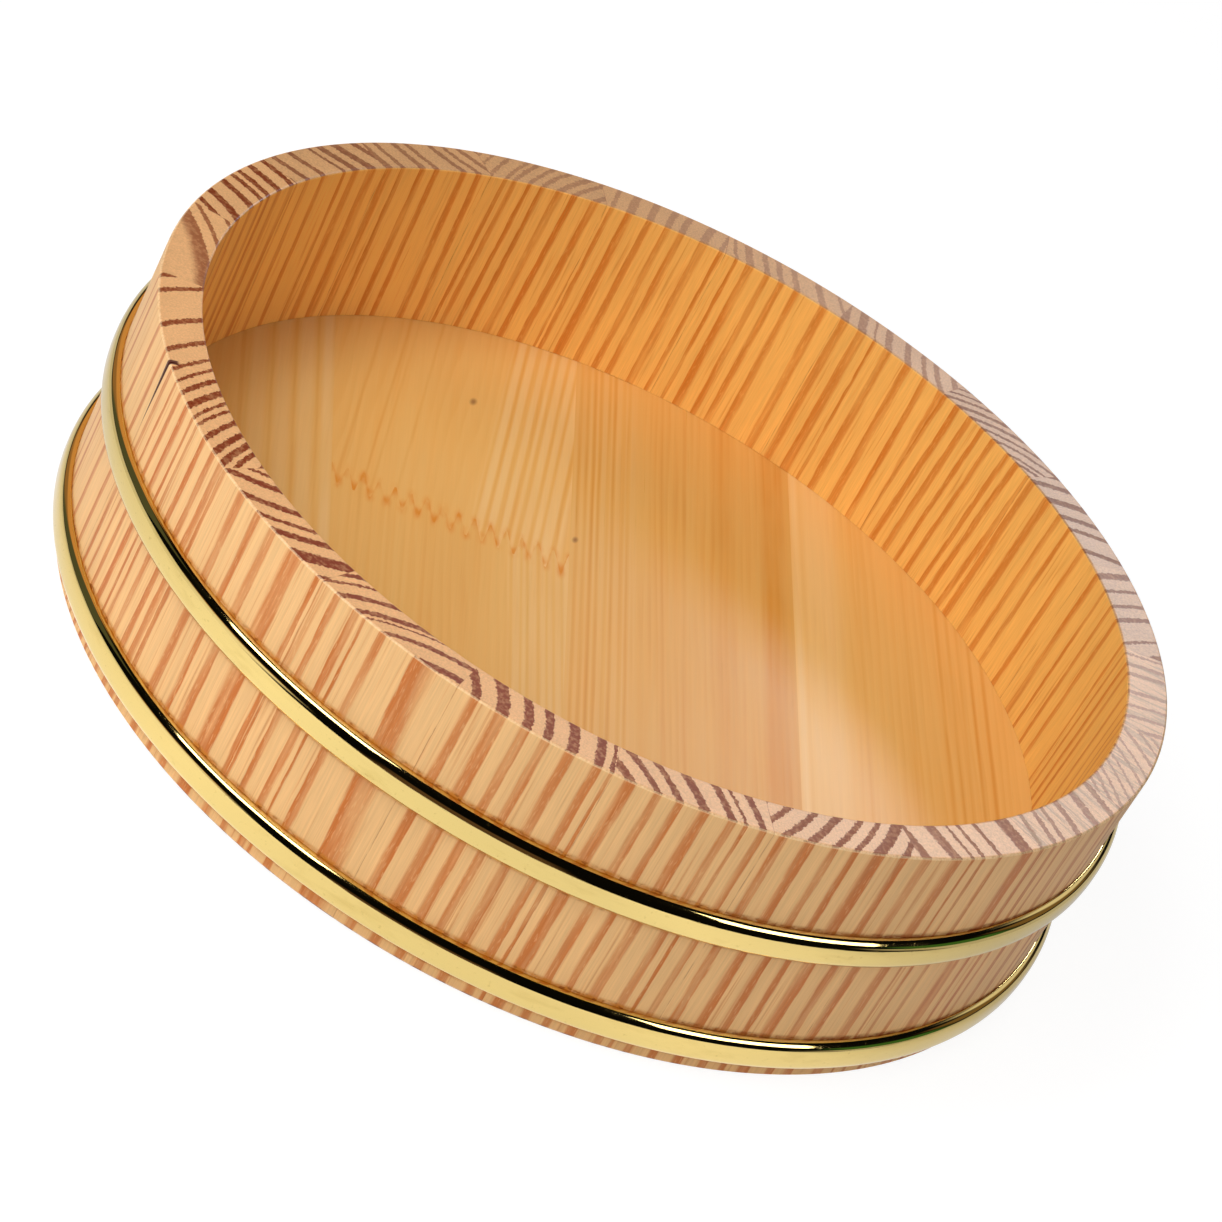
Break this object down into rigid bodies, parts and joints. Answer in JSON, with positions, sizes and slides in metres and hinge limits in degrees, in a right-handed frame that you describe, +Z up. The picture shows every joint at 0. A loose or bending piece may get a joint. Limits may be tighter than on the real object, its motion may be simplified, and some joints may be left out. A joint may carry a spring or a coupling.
{
  "type": "hangiri rice tub",
  "caption": "Round shallow wooden tub of upright staves with two half-round brass hoops and a boarded floor set in a groove, for cooling and dressing rice.",
  "frame": {"origin": "middle of the foot's circle, on the surface the tub stands on", "axes": "+Z up along the tub's own axis to the rim, -Y towards the front of the tub"},
  "size_m": [0.3052, 0.3052, 0.0785],
  "materials": {
    "stave_wood": "planed, unsealed",
    "floor_wood": "planed, unsealed",
    "hoop_brass": "polished",
    "peg_bamboo": "split and rounded"
  },
  "bodies": {
    "root": {"stave_01": "stave_wood", "stave_02": "stave_wood", "stave_03": "stave_wood", "stave_04": "stave_wood", "stave_05": "stave_wood", "stave_06": "stave_wood", "stave_07": "stave_wood", "stave_08": "stave_wood", "stave_09": "stave_wood", "stave_10": "stave_wood", "stave_11": "stave_wood", "stave_12": "stave_wood", "stave_13": "stave_wood", "stave_14": "stave_wood", "stave_15": "stave_wood", "stave_16": "stave_wood", "stave_17": "stave_wood", "stave_18": "stave_wood", "stave_19": "stave_wood", "stave_20": "stave_wood", "stave_21": "stave_wood", "stave_22": "stave_wood", "floor_board_left": "floor_wood", "floor_board_far": "floor_wood", "floor_board_near": "floor_wood", "floor_board_middle": "floor_wood", "floor_board_right": "floor_wood", "upper_hoop": "hoop_brass", "lower_hoop": "hoop_brass", "stave_pegs": "peg_bamboo", "board_pegs": "peg_bamboo"}
  },
  "joints": []
}
